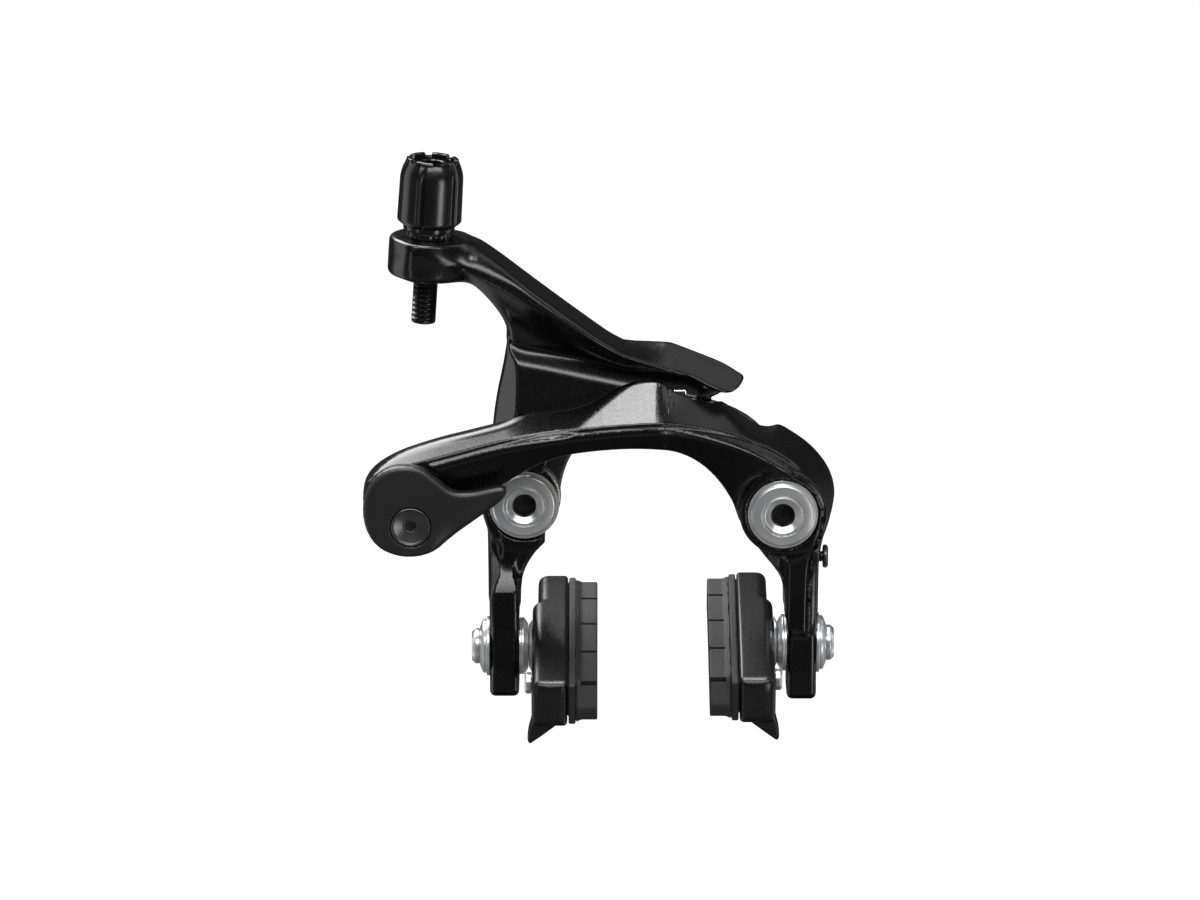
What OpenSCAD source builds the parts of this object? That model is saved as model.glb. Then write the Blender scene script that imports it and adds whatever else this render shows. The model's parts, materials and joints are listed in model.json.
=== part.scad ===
// Direct-mount dual-pivot rim brake caliper, front fitting, shown released.
// Frame: X across the bicycle, +Y towards the fork, +Z up. The origin lies on the
// mounting face, half way between the two mounting bolts.

/* [Mounting] */
// Distance between the two mounting bolts
bolt_span = 62; // [60:0.5:64]
// Radius of a mounting bolt's shank
bolt_r = 3; // [2.5:0.25:3]
// Length of mounting bolt that stands out behind the mounting face
bolt_reach = 12; // [8:1:20]
// Distance of the left bolt's face in front of the mounting face
left_face = 15.8; // [15.5:0.1:16]
// Distance of the right bolt's face in front of the mounting face
right_face = 24; // [23.5:0.1:24.5]

/* [Pivots] */
// Radius of the ring face of a mounting bolt's head
head_r = 7.8; // [7:0.1:8.2]
// Outer radius of the sleeve that an arm turns on
sleeve_r = 5.6; // [5.2:0.1:5.8]
// Outer radius of the bearing bush in an arm
bush_r = 6.8; // [6.5:0.1:7]
// Radial gap of every running fit
run_gap = 0.05; // [0.02:0.01:0.08]
// Across-flats size of the mounting bolts' hexagon sockets
bolt_key = 5; // [4:0.5:5.5]

/* [Link] */
// Height of the link roller's centre above the pivots
roller_z = 22; // [21.5:0.1:22.5]
// Radius of the link roller
roller_r = 4; // [3.5:0.1:4.2]
// Gap between the roller and the wear pad
cam_gap = 0.2; // [0.1:0.05:0.3]

/* [Cable adjuster] */
// Lean of the adjuster's axis towards the right, in degrees
adjuster_lean = 3.66; // [3:0.1:4.5]
// Largest radius of the adjusting barrel
barrel_r = 7.75; // [7:0.05:8]
// Length of the adjusting barrel
barrel_len = 17.3; // [15:0.1:18]
// Outer radius of the threaded stud
stud_r = 3.45; // [3:0.05:3.6]
// Radius of the seat for the cable housing
housing_r = 2.55; // [2.4:0.05:2.8]

/* [Quick release] */
// Height of the release spindle's axis, relative to the pivots
release_z = -1.2; // [-2:0.1:0]
// Thickness of the release lever
lever_t = 3.2; // [2.8:0.1:3.4]
// Radius of the cap screw's dished head
cap_r = 4.7; // [4:0.1:5]

/* [Shoes] */
// Distance of a pad's braking face from the middle
pad_x = 13.4; // [12:0.1:15]
// Length of a pad holder
holder_len = 55; // [50:1:56]
// Height of a pad holder
holder_h = 12.2; // [11:0.1:13]
// Nose-down tilt of the shoes, in degrees
shoe_tilt = 12; // [6:1:14]
// Distance of the shoe bolts' axis in front of the mounting face
shoe_y = 13; // [12.5:0.1:13.5]
// Height of the left shoe bolt, below the pivots
left_drop = 35.9; // [34:0.1:37]
// Height of the right shoe bolt, below the pivots
right_drop = 35; // [34:0.1:37]
// Radius of the rim's brake track, which the pads follow
rim_r = 305; // [290:5:320]

/* [Hidden] */
$fn = 48;
eps = 0.1;
half_span = bolt_span / 2;
side_gap = 0.1;                  // gap beside each face that slides on another
plate_t = 3;
rear_face = -plate_t - 0.6;      // rear face of both arms
head_t = 1.5;
waist_r = 2.4;                   // shank of a mounting bolt inside its sleeve
collar_r = 4.6;                  // neck of the bolt head, let into the sleeve
collar_t = 5;
washer_t = 0.5;
boss_r = 10.4;
spring_room_r = 9.4;             // pocket for the return spring, behind each boss
spring_room_t = 4.4;
coil_r = 8.2;
wire_r = 0.65;
cam_r = roller_z + roller_r + cam_gap;    // arc of the wear pad, about the middle
adjuster_y = -11;
seat_z = 66;                     // top of the adjuster boss
seat_x = -53.7;
boss_len = 9.5;
barrel_gap = 0.15;
collar_len = 1.6;
barrel_foot = collar_len + barrel_gap;
stud_foot = -21.4;
stud_top = barrel_foot + barrel_len - 1;
seat_depth = 8;
cable_r = 0.95;
flat_x = 2.9;                    // distance of the stud's two flats from its axis
release_x = -58;
release_front = -26;             // front face of the arm, under the lever
spindle_r = 4;
release_bush_r = 5.2;
anchor_off = 3;                  // throw of the release spindle
leg_in = 32.3;                   // inner and outer faces of the shoe legs
leg_out = 39.4;
slot_r = 3.4;
slot_half = 4;                   // half of the shoe bolt's travel in its slot
holder_in = 20.6;
holder_out = 27.9;
holder_step = 1.3;
shoe_washer_r = 6.9;
pad_len = 53.6;
groove_w = 0.8;
screw_y = -13;                   // centring screw
screw_z = -13.2;
screw_face = 40.8;
screw_head_r = 2.8;
crown_back = -14.4;              // back of the front arm where the rear arm passes it

// Rounds a closed outline by cutting its corners, k times over.
function cut(p, k) = k == 0 ? p : cut([for (i = [0:len(p) - 1]) for (t = [0.25, 0.75])
    p[i] * (1 - t) + p[(i + 1) % len(p)] * t], k - 1);
// Points of an arc about c, from angle a to angle b.
function arc(c, r, a, b, n) = [for (i = [0:n]) let (t = a + (b - a) * i / n) c + r * [cos(t), sin(t)]];

// Extrudes an outline in X and Z from y0 to y1.
module across(y0, y1) translate([0, y1, 0]) rotate([90, 0, 0]) linear_extrude(y1 - y0) children();
// Extrudes an outline in Y and Z from x0 to x1.
module along(x0, x1) translate([x0, 0, 0]) rotate([90, 0, 90]) linear_extrude(x1 - x0) children();
// Round bar along Y, and round bar along X.
module bar_y(r, y0, y1, x, z, fn = $fn)
    translate([x, y1, z]) rotate([90, 0, 0]) cylinder(r = r, h = y1 - y0, $fn = fn);
module bar_x(r, x0, x1, y, z, fn = $fn)
    translate([x0, y, z]) rotate([0, 90, 0]) cylinder(r = r, h = x1 - x0, $fn = fn);
// Turned piece on an axis along Y: points give radius and distance in front of y.
module turned_y(x, y, z, points)
    translate([x, y, z]) rotate([90, 0, 0]) rotate_extrude() polygon(points);
// Turned piece on an axis along X: points give radius and distance to the right of x.
module turned_x(x, y, z, points)
    translate([x, y, z]) rotate([0, 90, 0]) rotate_extrude() polygon(points);
// Hexagon socket of the given key size.
module hex_y(key, y0, y1, x, z) bar_y(key / sqrt(3), y0, y1, x, z, 6);
module hex_x(key, x0, x1, y, z) bar_x(key / sqrt(3), x0, x1, y, z, 6);

// ---- Mount -------------------------------------------------------------------

// Arched plate that ties the two pivots together behind the arms.
plate_outline = cut([[-40, 0], [-37, 8], [-29, 13], [-22, 20], [-10, 24], [10, 24], [22, 20],
    [29, 13], [37, 8], [40, 0], [37, -8], [28, -9.5], [23, -4], [21.6, 6], [17, 13.6], [8, 16],
    [-8, 16], [-17, 13.6], [-21.6, 6], [-23, -4], [-28, -9.5], [-37, -8]], 2);
module bridge_plate() color("dimgray") difference() {
    across(-plate_t, 0) polygon(plate_outline);
    for (s = [-1, 1]) bar_y(bolt_r + run_gap, -plate_t - eps, eps, s * half_span, 0);
}

// Mounting bolt: ring-faced head with a hexagon socket, neck and plain shank, which
// is waisted in the plate and the sleeve and full size where it stands out behind.
module mounting_bolt(x, face) color("silver") difference() {
    turned_y(x, 0, 0, [[0, -bolt_reach], [bolt_r - 0.5, -bolt_reach], [bolt_r, 0.5 - bolt_reach],
        [bolt_r, 0], [waist_r, 0.4], [waist_r, face - head_t - collar_t],
        [collar_r, face - head_t - collar_t],
        [collar_r, face - head_t], [head_r, face - head_t], [head_r, face - 0.9],
        [6.2, face], [4.2, face], [3.3, face - 0.7], [0, face - 0.7]]);
    hex_y(bolt_key, -face - eps, -face + 5.2, x, 0);
}
module left_mounting_bolt() mounting_bolt(-half_span, left_face);
module right_mounting_bolt() mounting_bolt(half_span, right_face);

// Sleeve that the mounting bolt clamps to the plate, and that an arm turns on.
module pivot_sleeve(x, face) color("gainsboro") difference() {
    bar_y(sleeve_r, -face + head_t, -plate_t, x, 0);
    bar_y(bolt_r + run_gap, -face, 0, x, 0);
    bar_y(collar_r + run_gap, -face, -face + head_t + collar_t, x, 0);
}
module left_pivot_sleeve() pivot_sleeve(-half_span, left_face);
module right_pivot_sleeve() pivot_sleeve(half_span, right_face);

// Thin washers under the two bolt heads.
module thrust_washers() color("gray")
    for (p = [[-half_span, left_face], [half_span, right_face]])
        difference() {
            bar_y(8.4, -p[1] + head_t, -p[1] + head_t + washer_t, p[0], 0);
            bar_y(sleeve_r + run_gap, -p[1], 0, p[0], 0);
        }

// ---- Front arm ---------------------------------------------------------------

// Faces of the two bosses, towards their thrust washers.
front_boss = -right_face + head_t + washer_t + side_gap;
rear_boss = -left_face + head_t + washer_t + side_gap;

front_outline = cut([[-69.5, 3], [-69, 10.5], [-60, 15.6], [-46, 19.6], [-32, 24.2], [-16, 29],
    [-5, 31.8], [4, 31.6], [12, 28.4], [20, 22], [26, 17], [32, 18.6], [38, 14.4], [43, 7.5],
    [45, -1], [43.5, -9], [40, -16], [leg_out, -21], [leg_out, -26], [leg_in, -26],
    [leg_in, -20], [29, -14.6],
    [24, -8], [21, 0.5], [17, 8.6], [10, 14.8], [2, 17.2], [-8, 16.8], [-20, 15], [-30, 11],
    [-40, 4], [-48, -2.5], [-54, -7.5], [-60, -8.8], [-66, -6]], 2);
// The arm from above: thick at its pivot, and in front of the rear arm on the left.
front_plan = cut([[-71, -17.2], [-16, -17.2], [-6, -14.6], [7, -14.4], [19, rear_face],
    [50, rear_face], [50, front_boss], [24, front_boss], [6, -25.5], [-10, -27], [-36, -27],
    [-50, -27.2], [-71, -27.2]], 1);
// Side view of a shoe leg, from the boss down to its rounded foot.
function leg_side(front, foot) = cut([[rear_face - 0.4, 2], [rear_face - 0.4, -12], [-6, -22],
    [-6, foot + 2], [-7.5, foot], [-18.5, foot], [-20, foot + 2], [-20, -24],
    [front, -11], [front, 2]], 1);
lever_outline = cut([[-69.6, 0], [-69, 8], [-64, 13.6], [-56, 14], [-51.6, 10.4], [-48, 7.2],
    [-43, 7.2], [-38, 8.5], [-35, 8.6], [-35.2, 5.6], [-41, 1.2], [-48, -4], [-53, -8.2],
    [-60, -9.2], [-66.5, -6.5]], 2);

module leg(front, foot, drop) difference() {
    along(leg_in, leg_out) polygon(leg_side(front, foot));
    for (z = [-slot_half, slot_half])
        bar_x(slot_r, leg_in - eps, leg_out + eps, -shoe_y, z - drop);
    translate([leg_in - eps, -shoe_y - slot_r, -drop - slot_half])
        cube([leg_out - leg_in + 2 * eps, 2 * slot_r, 2 * slot_half]);
}

// Bores and pockets round a pivot at x, with the boss's front face at y.
module pivot_room(x, y) {
    bar_y(bush_r, -40, 0, x, 0);
    bar_y(9, -40, y, x, 0);
    bar_y(spring_room_r, rear_face - spring_room_t, 0, x, 0);
}

module front_arm() color("#16161a") difference() {
    union() {
        intersection() {
            across(-28, 0) polygon(front_outline);
            translate([0, 0, -30]) linear_extrude(70) polygon(front_plan);
        }
        bar_y(boss_r, front_boss, rear_face, half_span, 0);
        leg(front_boss + 1, -48.1, right_drop);
    }
    pivot_room(half_span, front_boss);
    lever_recess();
    bar_y(release_bush_r, -30, -10, release_x, release_z);
    bar_y(2 + run_gap, -19, -10, 0, roller_z);
    bar_x(1.5 + run_gap, 34.5, 50, screw_y, screw_z);
    bar_x(screw_head_r + 0.4, screw_face, 50, screw_y, screw_z);
    translate([-30, crown_back, 23.8]) cube([60, 20, 20]);
}

// Flat bed for the release lever, wide enough for it to swing down.
module lever_recess() for (a = [0:15:90])
    translate([release_x, 0, release_z]) rotate([0, a, 0])
        translate([-release_x, -31, -release_z]) rotate([90, 0, 0])
            mirror([0, 0, 1]) linear_extrude(5) offset(delta = 0.5) polygon(lever_outline);

module bearing_bush(x, y) color("peru") difference() {
    bar_y(bush_r, y, rear_face - 0.2, x, 0);
    bar_y(sleeve_r + run_gap, y - eps, 0, x, 0);
}
module front_arm_bush() bearing_bush(half_span, front_boss);

// Return spring: turns of wire round the bush, with a tail towards the plate.
module return_spring(x) color("lightgray") {
    for (i = [0:2]) translate([x, rear_face - 1 - i * 1.25, 0]) rotate([90, 0, 0])
        rotate_extrude() translate([coil_r, 0]) circle(r = wire_r, $fn = 16);
    bar_y(0.6, rear_face - 3.5, rear_face - 0.6, x, coil_r, 16);
}
module front_arm_spring() return_spring(half_span);

module roller_pin() color("silver") turned_y(0, -4.6, roller_z,
    [[0, 0], [2.9, 0], [2.9, 0.8], [2, 0.8], [2, 13.4], [0, 13.4]]);
module link_roller() color("gainsboro") difference() {
    bar_y(roller_r, -13.9, -5.6, 0, roller_z);
    bar_y(2 + run_gap, -15, -5, 0, roller_z);
}

module release_bush() color("peru") difference() {
    bar_y(release_bush_r, -25.9, -17.3, release_x, release_z);
    bar_y(spindle_r + run_gap, -30, -10, release_x, release_z);
}

// Small screw that centres the caliper over the wheel.
module centring_screw() color("#2a2a2c") difference() {
    union() {
        bar_x(1.5, 35, screw_face + 0.1, screw_y, screw_z);
        turned_x(screw_face + 0.1, screw_y, screw_z, [[0, 0], [screw_head_r - 0.2, 0],
            [screw_head_r, 0.3], [screw_head_r, 1], [screw_head_r - 0.4, 1.3], [0, 1.3]]);
    }
    hex_x(2, screw_face + 0.4, screw_face + 2, screw_y, screw_z);
}

// ---- Rear arm ----------------------------------------------------------------

strut_outline = cut([[-34.5, 44], [-36.6, 31], [-38.8, 20], [-40, 6], [-40, -10],
    [-leg_out, -19], [-leg_out, -26], [-leg_in, -26], [-leg_in, -19], [-31, -16],
    [-28, -11.5], [-24, -5.5], [-20.6, 0], [-20.2, 12], [-15, 22],
    [-8, 26], [-4, 25.6], [8, 25.6], [12.5, 25], [16, 25.4], [20.5, 27.8], [21.8, 29.2],
    [18.5, 32], [8, 36], [2, 37.8], [-6, 38.2], [-15, 43.4], [-26, 51], [-32, 49]], 2);
beam_outline = cut([[-59, 57], [-50, 56.2], [-44, 55], [-38, 48], [-34.6, 42.5], [-26, 42],
    [-14, 35.8], [-8, 33], [4, 32.5], [9, 31.6], [14, 27.6], [20, 27.4], [22.6, 29],
    [19.8, 31.6], [13.6, 34.6], [6.6, 37.8], [-6, 38], [-15, 43.6], [-27, 52.6], [-38, 61.4], [-43, 64.6], [-50, 65.2],
    [-59, 65.6]], 2);
rear_plan = cut([[-62, rear_face], [-62, -20], [-12, -20], [-4, -18.6], [3, -13.9],
    [24, -13.9], [24, rear_face]], 1);

// Places things on the adjuster's axis, whose zero is at the top of its boss.
module on_adjuster() translate([seat_x, adjuster_y, seat_z]) rotate([0, adjuster_lean, 0]) children();

module rear_arm() color("#131316") difference() {
    union() {
        across(rear_boss, rear_face) polygon(strut_outline);
        intersection() {
            across(-21, rear_face) polygon(beam_outline);
            translate([0, 0, 20]) linear_extrude(60) polygon(rear_plan);
        }
        on_adjuster() translate([0, 0, -boss_len]) cylinder(r = 9.3, h = boss_len);
        bar_y(boss_r, rear_boss, rear_face, -half_span, 0);
        mirror([1, 0, 0]) leg(rear_boss, -47.4, left_drop);
    }
    pivot_room(-half_span, rear_boss);
    on_adjuster() translate([0, 0, -20]) difference() {
        cylinder(r = stud_r + run_gap, h = 30);
        for (s = [-1, 1]) translate([s * (flat_x + run_gap + 2), 0, 15]) cube([4, 10, 40], center = true);
    }
    bar_y(cam_r + 1.4, -20, 0, 0, 0, 96);
    translate([-5.2, -14, 20]) cube([13.4, 10.5, 8.6]);
}
module rear_arm_bush() bearing_bush(-half_span, rear_boss);
module rear_arm_spring() return_spring(-half_span);

// Hard pad that the link roller pushes up on, ground to an arc about the middle.
module wear_pad() color("silver") difference() {
    translate([-5, -13.6, 24]) cube([13, 9.4, 4.5]);
    bar_y(cam_r, -20, 0, 0, 0, 96);
}

// Click ring between the adjuster boss and the barrel.
module detent_collar() color("#222224") on_adjuster() difference() {
    cylinder(r = 6, h = collar_len);
    translate([0, 0, -1]) cylinder(r = stud_r + 2 * run_gap, h = 4);
}

// Adjusting barrel: six broad lobes, a tapered shoulder and a notched rim.
module adjuster_barrel() color("#1b1b1d") on_adjuster() translate([0, 0, barrel_foot]) difference() {
    rotate_extrude() polygon([[0, 0], [6.6, 0], [7.2, 1], [barrel_r, 3], [barrel_r, 12.4],
        [6.7, 15.6], [6.1, barrel_len], [0, barrel_len]]);
    translate([0, 0, -1]) cylinder(r = stud_r + run_gap, h = 30);
    translate([0, 0, barrel_len - 2]) cylinder(r = 4.9, h = 4);
    for (i = [0:5]) rotate([0, 0, 60 * i + 12]) {
        translate([barrel_r + 0.25, 0, -1]) cylinder(r = 0.9, h = 30, $fn = 24);
        translate([5.6, 0, barrel_len]) cube([3, 1.6, 1.6], center = true);
    }
}

// Hollow threaded stud with two flats; the cable housing ends in its top.
module adjuster_stud() color("#202022") on_adjuster() difference() {
    translate([0, 0, stud_foot]) cylinder(r = stud_r, h = stud_top - stud_foot);
    translate([0, 0, stud_top - seat_depth]) cylinder(r = housing_r, h = 20);
    translate([0, 0, stud_foot - 1]) cylinder(r = cable_r, h = 60);
    for (s = [-1, 1]) translate([s * (flat_x + 2), 0, -1 - boss_len / 2])
        cube([4, 10, 2 * boss_len + 20], center = true);
}

// ---- Quick release and cable anchor -------------------------------------------

module release_lever() color("#1d1d20") difference() {
    across(release_front - 0.1 - lever_t, release_front - 0.1) polygon(lever_outline);
    turned_y(release_x, release_front, release_z, [[0, 0], [2.5, 0], [2.5, 0.9], [cap_r, 3],
        [cap_r, 4], [0, 4]]);
}
module lever_cap_screw() color("#2c2c30") difference() {
    turned_y(release_x, release_front + 4, release_z, [[0, 0], [2.4, 0], [2.4, 4.9], [4.5, 6.9],
        [4.5, 7.1], [4.1, 7.1], [1.9, 6.5], [0, 6.5]]);
    hex_y(2.5, -40, release_front - 1, release_x, release_z);
}
// Spindle with an eccentric rear flange that carries the cable clamp.
module release_spindle() color("silver") difference() {
    union() {
        bar_y(spindle_r, release_front, -16, release_x, release_z);
        bar_y(6.4, -17, -14.4, release_x, release_z);
        bar_y(5, -14.4, -12.4, release_x, release_z + anchor_off);
    }
    bar_y(2.45, -30, release_front + 4.1, release_x, release_z);
    bar_y(2.5, -19, -10, release_x, release_z + anchor_off);
}
// Grooved plate that traps the cable.
module clamp_plate() color("lightgray") difference() {
    translate([release_x - 5, -12.4, release_z + anchor_off - 5]) cube([10, 2, 10]);
    bar_y(2.6, -14, -8, release_x, release_z + anchor_off);
    translate([release_x + 2.8, -12.6, -20]) cube([1.4, 0.9, 40]);
}
module anchor_bolt() color("silver") difference() {
    union() {
        bar_y(2.4, -16.8, -9, release_x, release_z + anchor_off);
        bar_y(4.4, -10.4, -5.6, release_x, release_z + anchor_off);
    }
    hex_y(4, -8.6, 0, release_x, release_z + anchor_off);
}

// ---- Brake shoes ---------------------------------------------------------------

// Mirrors a right-hand piece to the left side when s is -1.
module side(s) mirror([s < 0 ? 1 : 0, 0, 0]) children();
function drop(s) = s < 0 ? left_drop : right_drop;

// Places a shoe piece: its Y runs along the shoe and its zero is on the shoe bolt's axis.
module on_shoe(s) side(s) translate([0, -shoe_y, -drop(s)]) rotate([shoe_tilt, 0, 0]) children();

module shoe_bolt(s) color("silver") side(s) difference() {
    union() {
        bar_x(bolt_r, 24, 42, -shoe_y, -drop(s));
        turned_x(41.9, -shoe_y, -drop(s), [[0, 0], [4.3, 0], [4.3, 0.9], [3.5, 1.9], [0, 1.9]]);
    }
    hex_x(4, 40, 45, -shoe_y, -drop(s));
}
// Flat washer and dished washer between the leg and the bolt's head.
module outer_washers(s) color("lightgray") side(s) difference() {
    turned_x(leg_out + 0.05, -shoe_y, -drop(s), [[0, 0], [7.2, 0], [7.2, 0.8], [6.6, 0.9],
        [6.4, 1.7], [4.6, 2.4], [0, 2.4]]);
    bar_x(bolt_r + run_gap, leg_out - 1, 50, -shoe_y, -drop(s));
}
module cup_washer(s) color("lightgray") side(s) difference() {
    turned_x(leg_in - 2.15, -shoe_y, -drop(s), [[0, 0], [5.4, 0], [shoe_washer_r, 1],
        [shoe_washer_r, 2.1], [0, 2.1]]);
    bar_x(bolt_r + run_gap, 20, leg_in + 1, -shoe_y, -drop(s));
}
module dome_washer(s) color("gainsboro") side(s) difference() {
    turned_x(holder_out + holder_step + 0.05, -shoe_y, -drop(s), [[0, 0], [6.4, 0],
        [5, 0.8], [0, 0.8]]);
    bar_x(bolt_r + 0.1, 20, leg_in + 1, -shoe_y, -drop(s));
}

// Bar that follows the rim, from its lower to its upper face, in the shoe's Y and Z.
function rim_bar(len, low, high) = let (a = asin(len / 2 / rim_r), c = [0, -rim_r]) concat(
    arc(c, rim_r + high, 90 - a, 90 + a, 10), arc(c, rim_r + low, 90 + a, 90 - a, 10));

module pad_holder(s) color("#1a1a1c") on_shoe(s) difference() {
    union() {
        along(holder_in, holder_out) polygon(rim_bar(holder_len, -holder_h / 2, holder_h / 2));
        along(holder_out - eps, holder_out + holder_step) translate([-8, 0])
            polygon(rim_bar(holder_len - 17, -holder_h / 2, holder_h / 2 - 0.3));
        guide_fin();
    }
    bar_x(bolt_r + 0.1, holder_in + 1.2, 40, 0, 0);
    bar_x(1.5, holder_in + 1, 40, -18, 0);
    along(holder_in - eps, holder_in + 1) polygon(rim_bar(holder_len + 1, -4.2, 4.2));
}
// Wing under the front end that steers the wheel between the pads.
module guide_fin() translate([0, 5.5 - holder_len / 2, 0]) rotate([90, 0, 0]) linear_extrude(5)
    polygon([[20.8, -4], [20.8, -6], [29, -12.5], [29.9, -12.6], [30.4, -11.4], [29, -6], [27.6, -4]]);

// Pad: a tongue let into the holder, a flange and the grooved block, with a sloping nose.
module pad(s) color("#2b2b2d") on_shoe(s) difference() {
    union() {
        along(holder_in - 0.5, holder_in + 0.95) polygon(rim_bar(pad_len, -4.15, 4.15));
        along(holder_in - 1.7, holder_in - 0.35) polygon(rim_bar(pad_len, -5.9, 5.9));
        along(pad_x, holder_in - 1.6) polygon(rim_bar(pad_len, -4.6, 4.6));
    }
    for (i = [0:3]) translate([pad_x - eps, 17 - 13.3 * i - groove_w / 2, -8]) cube([4, groove_w, 16]);
    along(pad_x - eps, holder_in - 1.8) polygon([[-23.6, 5], [-23.6, 3.4], [-pad_len / 2, -1.2], [-30, 5]]);
}
module pad_screw(s) color("silver") on_shoe(s) difference() {
    union() {
        bar_x(1.45, holder_in + 1.2, holder_out + 2, -18, 0);
        bar_x(2.6, holder_out + holder_step + 0.02, holder_out + 3, -18, 0);
    }
    hex_x(2, holder_out + 2, 40, -18, 0);
}

module left_shoe_bolt() shoe_bolt(-1);
module left_outer_washers() outer_washers(-1);
module left_cup_washer() cup_washer(-1);
module left_dome_washer() dome_washer(-1);
module left_pad_holder() pad_holder(-1);
module left_pad() pad(-1);
module left_pad_screw() pad_screw(-1);
module right_shoe_bolt() shoe_bolt(1);
module right_outer_washers() outer_washers(1);
module right_cup_washer() cup_washer(1);
module right_dome_washer() dome_washer(1);
module right_pad_holder() pad_holder(1);
module right_pad() pad(1);
module right_pad_screw() pad_screw(1);

bridge_plate();
left_mounting_bolt();
right_mounting_bolt();
left_pivot_sleeve();
right_pivot_sleeve();
thrust_washers();
front_arm();
front_arm_bush();
front_arm_spring();
roller_pin();
link_roller();
release_bush();
centring_screw();
rear_arm();
rear_arm_bush();
rear_arm_spring();
wear_pad();
detent_collar();
adjuster_barrel();
adjuster_stud();
release_lever();
lever_cap_screw();
release_spindle();
clamp_plate();
anchor_bolt();
left_shoe_bolt();
left_outer_washers();
left_cup_washer();
left_dome_washer();
left_pad_holder();
left_pad();
left_pad_screw();
right_shoe_bolt();
right_outer_washers();
right_cup_washer();
right_dome_washer();
right_pad_holder();
right_pad();
right_pad_screw();
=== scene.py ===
"""Looks of the direct-mount rim brake caliper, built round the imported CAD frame.

Shapes are worked out in millimetres in the frame's own axes (X across, +Y towards the
fork, +Z up) and scaled to metres when a mesh is made.
"""
import json
import math

import bmesh
import bpy
import numpy as np
from mathutils import Matrix, Vector


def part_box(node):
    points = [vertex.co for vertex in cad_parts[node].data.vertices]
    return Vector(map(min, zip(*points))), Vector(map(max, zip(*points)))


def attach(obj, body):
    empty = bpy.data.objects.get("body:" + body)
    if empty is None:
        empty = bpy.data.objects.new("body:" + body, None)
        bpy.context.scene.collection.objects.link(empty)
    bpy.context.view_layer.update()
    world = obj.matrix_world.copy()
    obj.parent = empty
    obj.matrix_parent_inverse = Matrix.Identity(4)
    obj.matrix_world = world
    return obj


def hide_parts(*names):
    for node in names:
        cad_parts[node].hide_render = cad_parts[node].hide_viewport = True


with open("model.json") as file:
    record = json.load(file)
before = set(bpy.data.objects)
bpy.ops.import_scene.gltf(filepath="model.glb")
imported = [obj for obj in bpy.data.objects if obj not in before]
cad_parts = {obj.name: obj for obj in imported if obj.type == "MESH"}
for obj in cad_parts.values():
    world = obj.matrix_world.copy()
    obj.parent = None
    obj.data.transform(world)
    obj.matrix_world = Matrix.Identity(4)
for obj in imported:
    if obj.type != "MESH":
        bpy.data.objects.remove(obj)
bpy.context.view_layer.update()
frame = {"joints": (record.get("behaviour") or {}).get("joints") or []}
MM = 0.001
JOINTS = {j["name"]: j for j in frame["joints"]}


def place(joint):
    """A joint's position in the frame, in millimetres."""
    return Vector(JOINTS[joint]["pos_m"]) / MM


def box_mm(node):
    """Lowest and highest corner of a CAD node, in millimetres."""
    lo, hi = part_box(node)
    return lo / MM, hi / MM


# ---- Places and sizes taken from the frame --------------------------------------

PIVOT = place("front_arm_pivot").x
RELEASE = place("release_lever_turn")
ROLLER = place("link_roller_spin")
ADJUSTER = place("barrel_turn")
ADJUSTER_AXIS = Vector(JOINTS["barrel_turn"]["axis"]).normalized()
SIDES = {"left": -1, "right": 1}
SHOE_BOLT = {side: place(side + "_shoe_tilt") for side in SIDES}
REAR_FACE = box_mm("front_arm")[1].y
FRONT_BOSS = box_mm("front_arm_bush")[0].y
REAR_BOSS = box_mm("rear_arm_bush")[0].y
BOLT_FACE = {side: -box_mm(side + "_mounting_bolt")[0].y for side in SIDES}
STUD_REACH = box_mm("left_mounting_bolt")[1].y
LEG_IN, LEG_OUT = 32.3, box_mm("right_outer_washers")[0].x
FOOT = {"left": box_mm("rear_arm")[0].z, "right": box_mm("front_arm")[0].z}
SHOE_TILT = math.radians(12)
RIM_R = 305
LEVER_FRONT, LEVER_BACK = (c.y for c in box_mm("release_lever"))
RELEASE_BORE = 5.2
CAM_R = ROLLER.z + 4.2

# ---- Mesh helpers ---------------------------------------------------------------


def add_object(name, mesh, body, slot, *replaced, finish_name=None):
    """Makes an object of a mesh in metres, rides it on its body and hides what it replaces.
    Its material is the one named like its slot, unless another finish is named."""
    obj = bpy.data.objects.new(name, mesh)
    bpy.context.scene.collection.objects.link(obj)
    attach(obj, body)
    if replaced:
        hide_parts(*replaced)
    obj.data.materials.append(MATERIALS[finish_name or slot])
    return obj


def mesh_from(name, points, faces, normals=None, sharp=None):
    """A smooth-shaded mesh of points in millimetres, with its edges over an angle kept sharp."""
    mesh = bpy.data.meshes.new(name)
    mesh.from_pydata((np.asarray(points) * MM).tolist(), [], [list(map(int, f)) for f in faces])
    if sharp is not None:
        bm = bmesh.new()
        bm.from_mesh(mesh)
        bmesh.ops.recalc_face_normals(bm, faces=bm.faces)
        bm.to_mesh(mesh)
        bm.free()
    mesh.shade_smooth()
    if sharp is not None:
        mesh.set_sharp_from_angle(angle=math.radians(sharp))
    if normals is not None:
        mesh.normals_split_custom_set_from_vertices(normals.tolist())
    return mesh


def corner_cut(points, passes=2, closed=True):
    """Rounds a line of points by cutting its corners."""
    p = np.asarray(points, float)
    for _ in range(passes):
        q = np.roll(p, -1, axis=0) if closed else p[1:]
        a = p if closed else p[:-1]
        cut = np.stack([0.75 * a + 0.25 * q, 0.25 * a + 0.75 * q], 1).reshape(-1, p.shape[1])
        p = cut if closed else np.vstack([p[:1], cut, p[-1:]])
    return p


# ---- Turned pieces ----------------------------------------------------------------

TURN = 96
ANGLE = np.arange(TURN) * 2 * np.pi / TURN
# Distance from the middle to a hexagon's wall, for a hexagon 2 mm across its flats.
HEXAGON = 1 / np.cos(ANGLE % (np.pi / 3) - np.pi / 6)


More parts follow.
